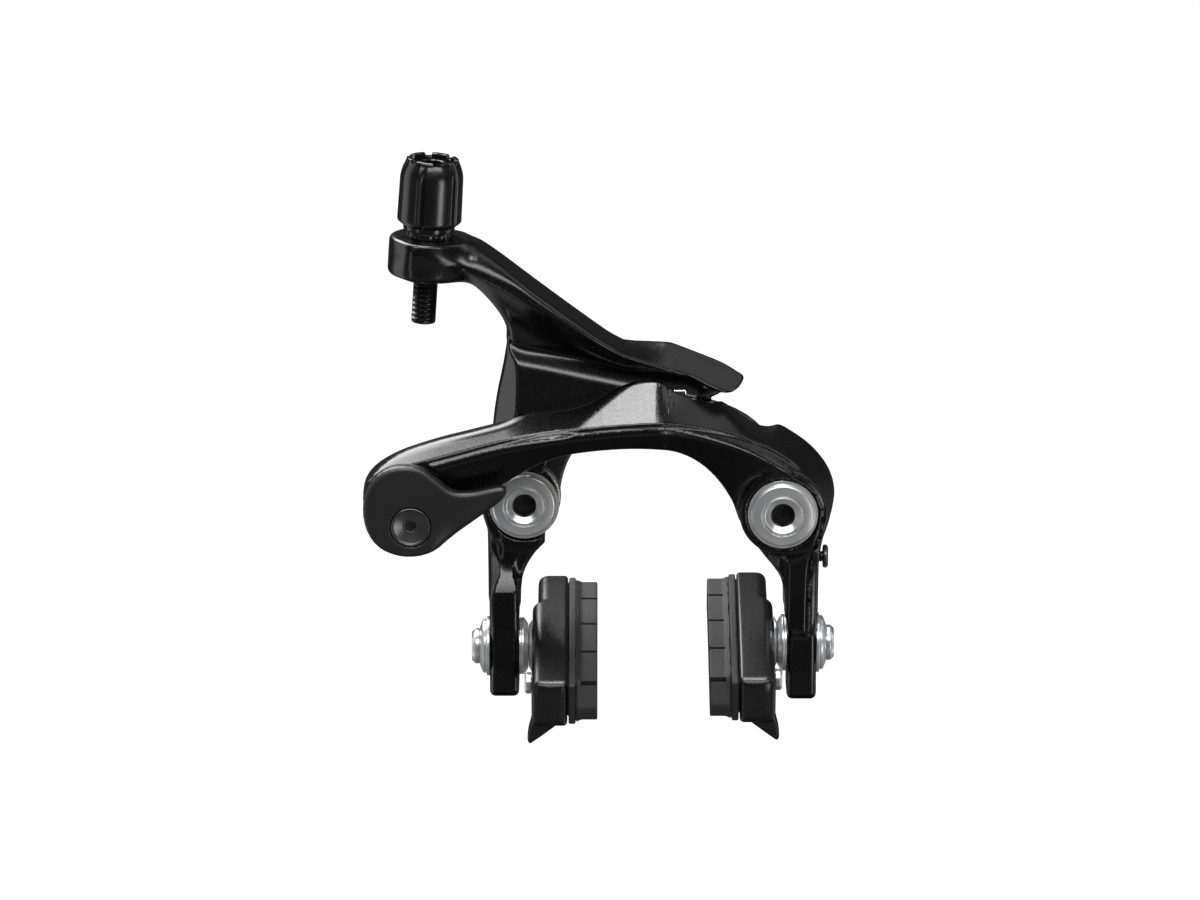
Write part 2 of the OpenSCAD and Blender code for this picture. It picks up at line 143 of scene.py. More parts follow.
def softened(profile, radius, closed=False):
    """Rounds the corners of a profile. Its points are radius, height and, for a hexagon, 6."""
    p = [np.array((*q, 0)[:3], float) for q in profile]
    out = []
    for i, q in enumerate(p):
        if not closed and i in (0, len(p) - 1):
            out.append(q)
            continue
        a, b = p[i - 1] - q, p[(i + 1) % len(p)] - q
        a[2] = b[2] = 0
        cut = min(radius, 0.4 * np.hypot(*a[:2]), 0.4 * np.hypot(*b[:2]))
        a, b = q + a / np.hypot(*a[:2]) * cut, q + b / np.hypot(*b[:2]) * cut
        out += [(1 - t) ** 2 * a + 2 * t * (1 - t) * q + t * t * b for t in (0, 0.3, 0.7, 1)]
    return out


def rings_of(profile):
    """Rings of radii and heights about the axis, from profile points."""
    points = [(*q, 0)[:3] for q in profile]
    return [(r * (HEXAGON if six else 1 + 0 * ANGLE), h + 0 * ANGLE) for r, h, six in points]


def thread_rings(r, depth, pitch, low, high):
    """Rings of a right-handed thread, run out at both ends."""
    rings = []
    for h in np.arange(low, high + 0.01, pitch / 8):
        t = (h / pitch - ANGLE / (2 * np.pi)) % 1
        tooth = np.clip(np.abs(2 * t - 1) * 1.4 - 0.2, 0, 1)
        limit = r - depth + np.minimum(h - low, high - h) * 1.2
        rings.append((np.minimum(r - depth * tooth, np.maximum(limit, r - depth)), h + 0 * ANGLE))
    return rings


def ring_mesh(name, base, axis, rings, closed=False, sharp=34):
    """Joins rings about an axis into one skin. A ring of no radius becomes one point. The
    mesh remembers where each point lies about the axis, for the marks of the lathe."""
    axis = Vector(axis).normalized()
    start = Vector((0, -1, 0)) if abs(axis.z) > 0.9 else Vector((0, 0, 1))
    start = (start - axis * start.dot(axis)).normalized()
    side = axis.cross(start)
    points, turn, index = [], [], []
    count = len(rings[0][0])
    angle = np.arange(count) * 2 * np.pi / count
    for r, h in rings:
        if np.max(r) < 1e-6:
            index.append([len(points)] * count)
            points.append(np.array(base) + np.array(axis) * h[0])
            turn.append((0, h[0], 0))
            continue
        index.append(list(range(len(points), len(points) + count)))
        ring = (np.array(base) + np.outer(h, axis) + np.outer(r * np.cos(angle), start)
                + np.outer(r * np.sin(angle), side))
        points += list(ring)
        turn += list(zip(r, h, np.cos(angle)))
    faces = []
    for k in range(len(index) if closed else len(index) - 1):
        a, b = index[k], index[(k + 1) % len(index)]
        for i in range(count):
            j = (i + 1) % count
            loop = list(dict.fromkeys((a[i], a[j], b[j], b[i])))
            if len(loop) > 2:
                faces.append(loop)
    mesh = mesh_from(name, points, faces, sharp=sharp)
    mark = mesh.attributes.new("turn", "FLOAT_VECTOR", "POINT")
    mark.data.foreach_set("vector", np.array(turn, np.float32).ravel())
    return mesh


def turned(name, base, axis, profile, body, slot, *replaced, soft=0.15, closed=False):
    """A piece turned on a lathe, with softened corners."""
    rings = rings_of(softened(profile, soft, closed))
    return add_object(name, ring_mesh(name, base, axis, rings, closed), body, slot, *replaced)


def paint_socket_shade(obj, reach, low):
    """Paints shade on the walls of a socket, within a reach of the axis above a height: a near-black
    material stands in for the shade inside the recess.
    """
    obj.data.materials.append(MATERIALS["socket_painted_shade"])
    turn = obj.data.attributes["turn"].data
    for face in obj.data.polygons:
        marks = [turn[v].vector for v in face.vertices]
        if max(m[0] for m in marks) < reach and min(m[1] for m in marks) > low:
            face.material_index = 1


def wire(name, path, r, body, slot, *replaced):
    """Round wire along a path, with closed ends."""
    path = np.asarray(path, float)
    ahead = np.gradient(path, axis=0)
    ahead /= np.linalg.norm(ahead, axis=1)[:, None]
    side = np.cross(ahead[0], (0.3, 0.5, 0.8))
    points, faces, n = [], [], 14
    for p, t in zip(path, ahead):
        side = side - t * (side @ t)
        side /= np.linalg.norm(side)
        other = np.cross(t, side)
        points += [p + r * (math.cos(a) * side + math.sin(a) * other)
                   for a in np.arange(n) * 2 * math.pi / n]
    for k in range(len(path) - 1):
        for i in range(n):
            j = (i + 1) % n
            faces.append((k * n + i, k * n + j, k * n + n + j, k * n + n + i))
    faces += [tuple(range(n)), tuple(range(len(points) - n, len(points)))]
    return add_object(name, mesh_from(name, points, faces, sharp=50), body, slot, *replaced)


# ---- Materials ------------------------------------------------------------------


def finish(name, dark, light, rough, metal=0.0, grain=0.5, bump=1.0, lathe=False, specular=0.5):
    """A procedural finish: a colour that drifts between two values, uneven roughness, and a
    bump in micrometres, with grain of a size in millimetres or the rings that a lathe leaves."""
    material = bpy.data.materials.new(name)
    material.use_nodes = True
    tree = material.node_tree
    surface = tree.nodes["Principled BSDF"]
    surface.inputs["Metallic"].default_value = metal
    surface.inputs["Specular IOR Level"].default_value = specular

    def noise(scale, where, detail):
        node = tree.nodes.new("ShaderNodeTexNoise")
        node.inputs["Scale"].default_value = scale
        node.inputs["Detail"].default_value = detail
        tree.links.new(where, node.inputs["Vector"])
        return node.outputs[0]

    where = tree.nodes.new("ShaderNodeTexCoord").outputs["Object"]
    drift = noise(120, where, 3)
    fine = noise(1 / (grain * MM), where, 2)
    if lathe:
        turn = tree.nodes.new("ShaderNodeAttribute")
        turn.attribute_name = "turn"
        stretch = tree.nodes.new("ShaderNodeVectorMath")
        stretch.operation = "MULTIPLY"
        stretch.inputs[1].default_value = (1 / grain, 1 / grain, 0.4)
        tree.links.new(turn.outputs["Vector"], stretch.inputs[0])
        fine = noise(1, stretch.outputs[0], 4)
    colour = tree.nodes.new("ShaderNodeValToRGB")
    for end, place_at, value in zip(colour.color_ramp.elements, (0.3, 0.7), (dark, light)):
        end.position, end.color = place_at, (*value, 1)
    tree.links.new(drift, colour.inputs[0])
    tree.links.new(colour.outputs[0], surface.inputs["Base Color"])
    spread = tree.nodes.new("ShaderNodeMapRange")
    for socket, value in (("From Min", 0.3), ("From Max", 0.7), ("To Min", 0.85 * rough),
                          ("To Max", 1.2 * rough)):
        spread.inputs[socket].default_value = value
    tree.links.new(fine, spread.inputs["Value"])
    tree.links.new(spread.outputs[0], surface.inputs["Roughness"])
    relief = tree.nodes.new("ShaderNodeBump")
    relief.inputs["Distance"].default_value = bump * 1e-6
    tree.links.new(fine, relief.inputs["Height"])
    tree.links.new(relief.outputs[0], surface.inputs["Normal"])
    return material


def grey(value, blue=0.0):
    """A grey, a little blue or, below zero, a little warm."""
    return (value * (1 - blue), value, value * (1 + blue))


MATERIALS = {
    "gloss_black": finish("gloss_black", grey(0.0008), grey(0.0014, 0.06), 0.24, bump=0.3),
    "satin_black": finish("satin_black", grey(0.007), grey(0.01, 0.05), 0.4, bump=3, grain=0.3),
    "holder_black": finish("holder_black", grey(0.0035), grey(0.005), 0.3, bump=2, grain=0.4,
                           specular=0.4),
    # Painted shade: near-black put on the walls of bolt sockets where the recess lies in shade.
    "socket_painted_shade": finish("socket_painted_shade", grey(0.006), grey(0.01), 0.5, bump=3),
    "black_aluminium": finish("black_aluminium", grey(0.003), grey(0.005, 0.05), 0.22, bump=2),
    "black_steel": finish("black_steel", grey(0.06), grey(0.1), 0.3, 0.85, bump=4, lathe=True),
    "black_plastic": finish("black_plastic", grey(0.0035), grey(0.005), 0.22, bump=1.5, grain=0.4),
    "plate": finish("plate", grey(0.06), grey(0.1), 0.4, 1, bump=4),
    "steel": finish("steel", grey(0.5), grey(0.6), 0.25, 1, bump=4, lathe=True),
    "bolt_steel": finish("bolt_steel", grey(0.5), grey(0.62, 0.02), 0.3, 0.8, bump=7, lathe=True),
    "washer_steel": finish("washer_steel", grey(0.5), grey(0.64, 0.02), 0.3, 0.75, bump=9,
                           lathe=True),
    "spring_steel": finish("spring_steel", grey(0.3), grey(0.45, 0.03), 0.28, 1, bump=3),
    "bronze": finish("bronze", (0.33, 0.19, 0.08), (0.5, 0.32, 0.15), 0.38, 1, bump=6, grain=0.3),
    "pad_rubber": finish("pad_rubber", grey(0.009), grey(0.013), 0.6, bump=12, grain=0.35,
                         specular=0.35),
}

# ---- Sculpting with distance fields -----------------------------------------------


def smax(a, b, k):
    """The larger of two fields, blended over k millimetres: a rounded edge."""
    h = np.maximum(k - np.abs(a - b), 0) / k
    return np.maximum(a, b) + h * h * k / 4


def smin(a, b, k):
    """The smaller of two fields, blended over k millimetres: a fillet."""
    return -smax(-a, -b, k)


def polygon_field(u, v, points):
    """Signed distance to a closed outline, negative inside."""
    best = np.full(np.broadcast(u, v).shape, 1e9)
    inside = np.zeros(best.shape, bool)
    for a, b in zip(points, np.roll(points, -1, axis=0)):
        e = b - a
        du, dv = u - a[0], v - a[1]
        t = np.clip((du * e[0] + dv * e[1]) / (e @ e), 0, 1)
        best = np.minimum(best, (du - t * e[0]) ** 2 + (dv - t * e[1]) ** 2)
        crosses = (a[1] > v) != (b[1] > v)
        if e[1]:
            inside ^= crosses & (u < e[0] * (v - a[1]) / e[1] + a[0])
    return np.where(inside, -1, 1) * np.sqrt(best)


def rail_field(u, v, points, values):
    """Signed distance to an open line, positive on its left, and the values along it."""
    best = np.full(np.broadcast(u, v).shape, 1e9)
    sign = np.ones(best.shape)
    found = [np.zeros(best.shape) for _ in range(values.shape[1])]
    for i in range(len(points) - 1):
        a, e = points[i], points[i + 1] - points[i]
        du, dv = u - a[0], v - a[1]
        t = np.clip((du * e[0] + dv * e[1]) / (e @ e), 0, 1)
        d = (du - t * e[0]) ** 2 + (dv - t * e[1]) ** 2
        near = d < best
        best = np.where(near, d, best)
        sign = np.where(near, np.where(e[0] * dv - e[1] * du >= 0, 1, -1), sign)
        for k, f in enumerate(found):
            found[k] = np.where(near, values[i, k] * (1 - t) + values[i + 1, k] * t, f)
    return sign * np.sqrt(best), found


def box_field(centre, half, k, *axes):
    """A box with edges rounded over k, from its middle and half sizes."""
    walls = [np.abs(a - c) - h for a, c, h in zip(axes, centre, half)]
    return smax(smax(walls[0], walls[1], k), walls[2], k)


def ease(x, xs, ys):
    """A smooth curve through given heights, flat beyond its ends."""
    x = np.asarray(x, float)
    i = np.clip(np.searchsorted(xs, x) - 1, 0, len(xs) - 2)
    xs, ys = np.asarray(xs, float), np.asarray(ys, float)
    slope = np.gradient(ys, xs)
    slope[0] = slope[-1] = 0
    w = xs[i + 1] - xs[i]
    t = np.clip((x - xs[i]) / w, 0, 1)
    return (
        ys[i] * (1 + 2 * t) * (1 - t) ** 2
        + slope[i] * w * t * (1 - t) ** 2
        + ys[i + 1] * t * t * (3 - 2 * t)
        - slope[i + 1] * w * t * t * (1 - t)
    )


CELL_EDGES = [
    ((0, 0, 0), (1, 0, 0)), ((0, 1, 0), (1, 1, 0)), ((0, 0, 1), (1, 0, 1)), ((0, 1, 1), (1, 1, 1)),
    ((0, 0, 0), (0, 1, 0)), ((1, 0, 0), (1, 1, 0)), ((0, 0, 1), (0, 1, 1)), ((1, 0, 1), (1, 1, 1)),
    ((0, 0, 0), (0, 0, 1)), ((1, 0, 0), (1, 0, 1)), ((0, 1, 0), (0, 1, 1)), ((1, 1, 0), (1, 1, 1)),
]


def slope_of(field, p, h=0.02):
    """Gradient of a field at points."""
    out = np.empty_like(p)
    for k in range(3):
        step = np.zeros(3)
        step[k] = h
        out[:, k] = field(*(p + step).T) - field(*(p - step).T)
    return out / (2 * h)


def sculpt(field, lo, hi, step):
    """Points, quads and normals of the surface where a field is zero: one point in each cell
    that the surface crosses, moved onto it, and one quad round each grid edge that crosses it."""
    axes = [np.arange(a, b + step, step) for a, b in zip(lo, hi)]
    grid = np.broadcast_to(
        field(axes[0][:, None, None], axes[1][None, :, None], axes[2][None, None, :]),
        tuple(len(a) for a in axes),
    )
    solid = grid < 0
    corners = sum(
        solid[i : i - 1 or None, j : j - 1 or None, k : k - 1 or None].astype(np.int8)
        for i in (0, 1) for j in (0, 1) for k in (0, 1)
    )
    cells = np.argwhere((corners > 0) & (corners < 8))
    index = np.full(corners.shape, -1, np.int64)
    index[tuple(cells.T)] = np.arange(len(cells))
    total, count = np.zeros((len(cells), 3)), np.zeros(len(cells))
    for a, b in CELL_EDGES:
        va, vb = grid[tuple((cells + a).T)], grid[tuple((cells + b).T)]
        t = np.where(va != vb, va / np.where(va != vb, va - vb, 1), 0.5)
        cut = (va < 0) != (vb < 0)
        total += cut[:, None] * (np.array(a) + t[:, None] * (np.array(b) - a))
        count += cut
    points = np.array(lo) + (cells + total / count[:, None]) * step
    faces = []
    for k in range(3):
        ahead = [slice(None)] * 3
        behind = [slice(None)] * 3
        ahead[k], behind[k] = slice(1, None), slice(None, -1)
        edge = np.argwhere(solid[tuple(behind)] != solid[tuple(ahead)])
        m, n = (k + 1) % 3, (k + 2) % 3
        edge = edge[(edge[:, m] > 0) & (edge[:, n] > 0)]
        dm, dn = np.eye(3, dtype=int)[m], np.eye(3, dtype=int)[n]
        quad = np.stack([index[tuple((edge - dm * i - dn * j).T)]
                         for i, j in ((0, 0), (1, 0), (1, 1), (0, 1))], 1)
        outward = solid[tuple(edge.T)]
        faces.append(np.where(outward[:, None], quad, quad[:, ::-1]))
    for _ in range(3):
        g = slope_of(field, points)
        move = field(*points.T) / np.maximum((g * g).sum(1), 0.05)
        points = points - np.clip(move, -step / 2, step / 2)[:, None] * g
    normal = slope_of(field, points, 0.06)
    normal /= np.maximum(np.linalg.norm(normal, axis=1), 1e-6)[:, None]
    return points, np.concatenate(faces), normal


def sculpted(name, field, lo, hi, step, body, slot, *replaced):
    """An object sculpted from a field."""
    skin = sculpt(field, lo, hi, step * (1))
    return add_object(name, mesh_from(name, *skin), body, slot, *replaced)


# ---- Front arm --------------------------------------------------------------------

# Outline seen from the front, clockwise from the left end.
FRONT_OUTLINE = corner_cut([
    (-69.6, 2), (-69.2, 9), (-63, 14.2), (-52.5, 17.9), (-43, 20.3), (-33, 22.9), (-24, 26.6),
    (-12, 29.8), (-3.5, 31.7), (3.5, 31.7), (8.5, 29.9), (14, 25.8), (20, 21), (25, 17.4),
    (28.3, 16.9), (31, 18.2), (35, 16.8), (40, 11.8), (43.6, 5.6), (44.4, 0), (42.8, -4.6),
    (40.4, -10), (39.5, -15), (39.4, -30), (32.2, -30), (31.8, -19), (29.5, -15.2),
    (25.6, -11), (22, -5.6), (19, 1.6), (15.4, 7.8), (10.6, 12.8), (4.6, 15.9), (-4, 16.7),
    (-14, 16.2), (-22, 15), (-30, 11.6), (-37, 6.4), (-45, 0), (-52.5, -6.4), (-59, -8.9),
    (-66, -6.4),
])
# Crest of the arm's front: x, z, depth, and how steeply the surface falls back above it.
CREST = corner_cut([
    (-75, 7.5, -27.2, 1.3), (-60, 11.4, -27.2, 1.3), (-51, 13.8, -27.2, 1.3),
    (-39, 17.2, -27.2, 1.3), (-30, 19.2, -27, 1.3), (-13, 21.3, -26.6, 1.24),
    (-1.2, 22, -26.3, 1.18), (1.5, 22, -26.2, 1.18), (4.2, 21.8, -25.5, 1.5),
    (11, 20.4, -24.4, 2.2), (20, 17.9, -23.9, 3.6),
    (28, 14.2, -23.6, 5), (35, 9.4, -23.2, 4.6), (40, 3.6, -22.8, 5), (41, -3, -22.6, 6),
    (38.6, -9.4, -22.2, 7), (37.6, -16, -21.4, 8), (37.6, -60, -20.4, 8),
], 2, closed=False)
# Where the left-hand panel starts to climb over the middle facet, and how fast.
PANEL_FOOT, PANEL_CLIMB = -20, 0.65
# How steeply the surface falls back below the crest.
UNDER_FALL = 0.45
# Height and depth beyond which the crown is cut away for the rear arm.
CROWN_CUT_Z, CROWN_CUT_Y = 23.8, -14.5
# Edge of the raised panel beside the release lever.
LEVER_BED = corner_cut([
    (-75, 20), (-66, 13.6), (-61, 14.6), (-56, 14.8), (-52.6, 12.4), (-48.8, 8.8), (-45.2, 8.2),
    (-40, 9), (-34, 10), (-30, 9), (-30, -30), (-75, -30),
])


def leg_side(foot, front):
    """Side view of a shoe leg, in Y and Z."""
    return corner_cut([
        (REAR_FACE - 0.4, 4), (REAR_FACE - 0.4, -12), (-6, -22), (-6, foot + 2.4), (-7.6, foot),
        (-18.4, foot), (-20, foot + 2.4), (-20, -24), (front, -11), (front, 4),
    ], 1)


# Half the length of a slot's straight part, its half width, and the room for its washers.
SLOT_HALF, SLOT_R, WASHER_ROOM = 4.05, 3.5, 7.3


def leg_field(x, y, z, foot, front, bolt):
    """A shoe leg on the right-hand side, with its slot."""
    middle, half = (LEG_IN + LEG_OUT) / 2, (LEG_OUT - LEG_IN) / 2
    leg = smax(np.abs(x - middle) - half, polygon_field(y, z, leg_side(foot, front)), 1.6)
    slot = np.hypot(y - bolt.y, np.maximum(np.abs(z - bolt.z) - SLOT_HALF, 0)) - SLOT_R
    return smax(leg, -slot, 0.5)


def washer_room(arm, x, y, z, bolt):
    """Trims what stands proud of a leg's sides near the shoe bolt's washers."""
    middle, half = (LEG_IN + LEG_OUT) / 2, (LEG_OUT - LEG_IN) / 2
    r = np.hypot(y - bolt.y, np.maximum(np.abs(z - bolt.z) - SLOT_HALF, 0))
    beside = half + 0.1 - np.abs(x - middle)
    room = np.maximum(np.maximum(r - WASHER_ROOM, beside), np.abs(x - middle) - half - 8)
    return smax(arm, -room, 0.3)


# Radii of an arm's bore, of the recess in its boss and of its spring pocket; pocket depth.
BUSH_R, RECESS_R, POCKET_R, POCKET_DEPTH = 6.8, 8.8, 9.4, 4.4
BOSS_R = 10.4


def pivot_room(arm, x, y, z, centre, boss):
    """Cuts the bore, the face recess and the spring pocket of a pivot out of an arm."""
    r = np.hypot(x - centre, z)
    arm = smax(arm, -(r - BUSH_R), 0.3)
    arm = smax(arm, -np.maximum(r - RECESS_R, y - boss), 0.3)
    return smax(arm, -np.maximum(r - POCKET_R, REAR_FACE - POCKET_DEPTH - y), 0.3)


def front_arm_field(x, y, z):
    outline = polygon_field(x, z, FRONT_OUTLINE)
    side, (depth, fall) = rail_field(x, z, CREST[:, :2], CREST[:, 2:])
    above = smax(side, 0 * side, 1.6)
    below = smax(-side, 0 * side, 1.6)
    # A narrow upright step sets the rounded crest off from the faces above it.
    above = above - 0.5 * ease(above, [0.6, 1.6], [0, 1])
    facet = depth + above * fall + below * UNDER_FALL
    panel_fall = ease(x, [-62, -50, -38, -25], [1.6, 1.25, 1.4, 2.3])
    panel = depth + above * panel_fall - PANEL_CLIMB * smax(x - PANEL_FOOT, 0 * x, 3)
    front = np.where(x < 8, smax(facet, panel, 0.9), facet)
    lean = np.where(side > 0, np.where(panel > facet, panel_fall, fall), UNDER_FALL)
    arm = smax(outline, (front - y) / np.sqrt(1 + lean**2), 1.1)
    back = ease(x, [-16, -6, 7, 20], [-17.2, -14.6, -14.4, REAR_FACE])
    arm = smax(arm, (y - back) / 1.2, 1.2)
    r = np.hypot(x - PIVOT, z)
    boss = smax(r - BOSS_R, smax(FRONT_BOSS - y, y - REAR_FACE, 1), 1)
    arm = smin(arm, boss, 2)
    arm = smin(arm, leg_field(x, y, z, FOOT["right"], FRONT_BOSS + 1, SHOE_BOLT["right"]), 2.5)
    arm = washer_room(arm, x, y, z, SHOE_BOLT["right"])
    arm = smax(arm, -np.maximum(polygon_field(x, z, LEVER_BED), y + 26), 0.5)
    # The crown is cut away behind, where the rear arm passes it.
    arm = smax(arm, -np.maximum(CROWN_CUT_Z - z, CROWN_CUT_Y - y), 0.4)
    screw = place("centring_screw_turn")
    arm = smax(arm, -np.maximum(np.hypot(y - screw.y, z - screw.z) - 1.6, 34 - x), 0.1)
    arm = pivot_room(arm, x, y, z, PIVOT, FRONT_BOSS)
    return smax(arm, -(np.hypot(x - RELEASE.x, z - RELEASE.z) - RELEASE_BORE), 0.3)


# ---- Rear arm ---------------------------------------------------------------------

STRUT_OUTLINE = corner_cut([
    (-34.4, 44), (-35.8, 34), (-38, 24), (-39.2, 12), (-40, -2), (-39.6, -14), (-39.5, -30),
    (-32.3, -30), (-32, -20), (-30.6, -15.2), (-27.6, -10.8), (-23.6, -5), (-20.9, -0.5),
    (-20.5, 6), (-20.5, 13), (-15, 22), (-8, 26), (-4, 25.6), (8, 25.6), (12.5, 25),
    (16, 25.4), (20.5, 27.8), (21.8, 29.4), (16, 33), (2, 37), (-8, 38), (-20, 44), (-28, 50),
])
BEAM_OUTLINE = corner_cut([
    (-58, 57.4), (-50, 56.6), (-46, 55.6), (-42, 52), (-38.2, 47.8), (-35.4, 43.6),
    (-34.4, 38), (-24, 36.6), (-12, 34.6), (-6, 33), (4, 32.4), (9.4, 31.4), (14, 27.6),
    (19.6, 27.2), (22.6, 29.4), (19.8, 31.8), (13.6, 34.8), (6.6, 38), (3, 38.8), (-4, 38.6),
    (-8, 38.8), (-15, 43.8), (-27, 52.8), (-38, 61.4), (-43, 64.6), (-50, 65.6), (-59, 66),
])
# Front crest of the upper beam: x, z and depth.
BEAM_CREST = corner_cut([
    (-70, 65.4, -20.4), (-52, 64.2, -20.4), (-45, 60.6, -20.2), (-36, 56, -20),
    (-26, 49.8, -20), (-15, 43, -19.4), (-8, 38.4, -17.4), (-2, 36, -15.8),
    (5, 33, -14.4), (13, 29.4, -14), (30, 22, -13.9),
], 2, closed=False)
STRUT_CREST = corner_cut([(-60, 39, 0), (-38, 35.4, 0), (-31, 34.6, 0), (-11, 30.2, 0),
                          (10, 26, 0)], 1, closed=False)
# Depth of the strut's front at its crest.
STRUT_FACE = -12.4
# Lower edge of the beam's hollow front: x, z, and how far it stands out.
HOLLOW_EDGE = np.array([(-24, 42.8, 0), (-17.3, 39.6, 1), (-9, 35.6, 1), (-3, 32.6, 0)])


def along_adjuster(x, y, z):
    """Distance from the adjuster's axis, and height along it above its boss."""
    dx, dy, dz = x - ADJUSTER.x, y - ADJUSTER.y, z - ADJUSTER.z
    w = dx * ADJUSTER_AXIS.x + dz * ADJUSTER_AXIS.z
    across = dx * ADJUSTER_AXIS.z - dz * ADJUSTER_AXIS.x
    return np.hypot(across, dy), w


def rear_arm_field(x, y, z):
    outline = polygon_field(x, z, STRUT_OUTLINE)
    side, _ = rail_field(x, z, STRUT_CREST[:, :2], STRUT_CREST[:, 2:])
    face = STRUT_FACE - 0.22 * smax(-side, 0 * side, 1) + 0.9 * smax(side, 0 * side, 1)
    face = np.maximum(face, REAR_BOSS - 1.2)
    strut = smax(smax(outline, (face - y) / 1.2, 1.2), y - REAR_FACE, 1.4)
    flank = ease(z, [8, 19, 36], [-38, -35.6, -32.8])
    strut = smax(strut, (STRUT_FACE + 1.3 * (flank - x) - y) / 1.64, 0.7)
    beam = polygon_field(x, z, BEAM_OUTLINE)
    side, (depth,) = rail_field(x, z, BEAM_CREST[:, :2], BEAM_CREST[:, 2:])
    below = smax(-side, 0 * side, 1)
    hollow = ease(x, [-50, -40], [0.25, 1])
    front = depth + 10 * hollow * (1 - np.exp(-(below / 5) ** 1.5)) + 0.12 * smax(side, 0 * side, 1)
    reach, (rise,) = rail_field(x, z, HOLLOW_EDGE[:, :2], HOLLOW_EDGE[:, 2:])
    front = front - 1.5 * rise * np.exp(-(reach / 1.4) ** 2)
    # The crest is broadly rounded where the beam leaves the adjuster's boss.
    edge = ease(x, [-56, -47, -40, -30], [3, 8, 5, 2])
    beam = smax(smax(beam, (front - y) / 1.25, edge), y - REAR_FACE, 1.4)
    # The paddle's top is one facet that slopes down to the right and to the front.
    tilt = 0.44 * np.clip((x + 7.3) / 11.3, 0, 1)
    top = 38.3 + smax(-7.3 - x, 0 * x, 0.5) - 0.456 * smax(x - 4, 0 * x, 1.5) - tilt * (-4 - y)
    beam = smax(beam, (z - top) / 1.15, 0.9)
    arm = smin(strut, beam, 1.6)
    r, w = along_adjuster(x, y, z)
    boss = smax(r - 9.3, smax(w, -w - 9.5, 2), 1.6)
    arm = smin(arm, boss, 3.5)
    leg = leg_field(-x, y, z, FOOT["left"], REAR_BOSS, SHOE_BOLT["left"])
    half = ease(z, [-30, -23, -19.5, -16.5, -13.5, -10.5, -7], [3, 2.9, 2.2, 1.4, 2.2, 4.2, 7])
    nose = ease(z, [-24, -11], [-20, REAR_BOSS])
    leg = smax(leg, (nose + 1.3 * np.maximum(np.abs(x + 35.4) - half, 0) - y) / 1.64, 0.7)
    arm = smin(arm, leg, 1.2)
    arm = washer_room(arm, -x, y, z, SHOE_BOLT["left"])
    pivot = smax(np.hypot(x + PIVOT, z) - BOSS_R, smax(REAR_BOSS - y, y - REAR_FACE, 1), 1)
    arm = smin(arm, pivot, 2)
    arm = pivot_room(arm, x, y, z, -PIVOT, REAR_BOSS)
    arm = smax(arm, -(r - 3.5), 0.4)
    arm = smax(arm, w, 0.6)
    return smax(arm, -(np.hypot(x, z) - CAM_R - 1.4), 0.4)


sculpted("front_arm_shell", front_arm_field, (-71, -29, -50), (46.5, -2, 33.5), 0.42,
         "front_arm", "gloss_black", "front_arm")
sculpted("rear_arm_shell", rear_arm_field, (-65, -23, -50), (24.5, -0.5, 68.5), 0.42,
         "rear_arm", "gloss_black", "rear_arm")

# ---- Mount and pivots --------------------------------------------------------------

FRONT = Vector((0, -1, 0))
# Return springs: radius of the coil, depth of its front end, and radius of the wire.
COIL_R, COIL_FRONT, WIRE_R = 8.2, -7.1, 0.62
PLATE_OUTLINE = corner_cut([
    (-40, 0), (-37, 8), (-29, 13), (-22, 20), (-10, 24), (10, 24), (22, 20), (29, 13), (37, 8),
    (40, 0), (37, -8), (28, -9.5), (23, -4), (21.6, 6), (17, 13.6), (8, 16), (-8, 16),
    (-17, 13.6), (-21.6, 6), (-23, -4), (-28, -9.5), (-37, -8),
])


def plate_field(x, y, z):
    plate = smax(polygon_field(x, z, PLATE_OUTLINE), np.abs(y + 1.5) - 1.5, 0.7)
    return smax(plate, -(np.hypot(np.abs(x) - PIVOT, z) - 3.05), 0.3)


sculpted("bridge_plate_skin", plate_field, (-42, -4, -11), (42, 1, 26), 0.55,
         "mount", "plate", "bridge_plate")

for side, sign in SIDES.items():
    arm = {"left": "rear_arm", "right": "front_arm"}[side]
    axis, face = (sign * PIVOT, 0, 0), BOLT_FACE[side]
    boss = {"left": REAR_BOSS, "right": FRONT_BOSS}[side]
    shank = rings_of([(0, -STUD_REACH), (2.3, -STUD_REACH)])
    shank += thread_rings(3, 0.5, 1, -STUD_REACH, -0.1)
    head = rings_of(softened([
        (2.4, 0.4), (2.4, face - 6.5), (4.6, face - 6.5), (4.6, face - 1.5), (7.8, face - 1.5),
        (7.8, face - 0.9), (7.2, face - 0.35), (5.1, face - 0.05), (4.95, face - 0.35),
        (4.75, face - 0.35), (4.6, face), (4.3, face), (2.95, face - 0.9),
        (2.5, face - 1.1, 1), (2.5, face - 5.2, 1), (0, face - 5.2),
    ], 0.12))
    bolt = add_object(side + "_mounting_bolt_turned",
                      ring_mesh(side + "_bolt", axis, FRONT, shank + head),
                      "mount", "bolt_steel", side + "_mounting_bolt")
    # The walls of the socket get painted shade.
    paint_socket_shade(bolt, 2.96, face - 6)
    turned(side + "_sleeve_turned", axis, FRONT,
           [(3.05, 3), (5.6, 3), (5.6, face - 1.5), (4.65, face - 1.5), (4.65, face - 6.5),
            (3.05, face - 6.5)], "mount", "steel", side + "_pivot_sleeve", closed=True)
    turned(side + "_thrust_washer_turned", axis, FRONT,
           [(5.65, face - 2), (8.4, face - 2), (8.4, face - 1.5), (5.65, face - 1.5)],
           "mount", "washer_steel", "thrust_washers", closed=True)
    turned(arm + "_bush_turned", axis, FRONT,
           [(5.65, 3.8), (BUSH_R, 3.8), (BUSH_R, -boss), (5.65, -boss)],
           arm, "bronze", arm + "_bush", closed=True)
    turns = np.linspace(0, 2.6, 120)
    coil = [(sign * PIVOT + COIL_R * math.sin(2 * math.pi * t), COIL_FRONT + t,
             COIL_R * math.cos(2 * math.pi * t)) for t in turns]
    wire(arm + "_spring_wound", coil, WIRE_R, arm, "spring_steel", arm + "_spring")

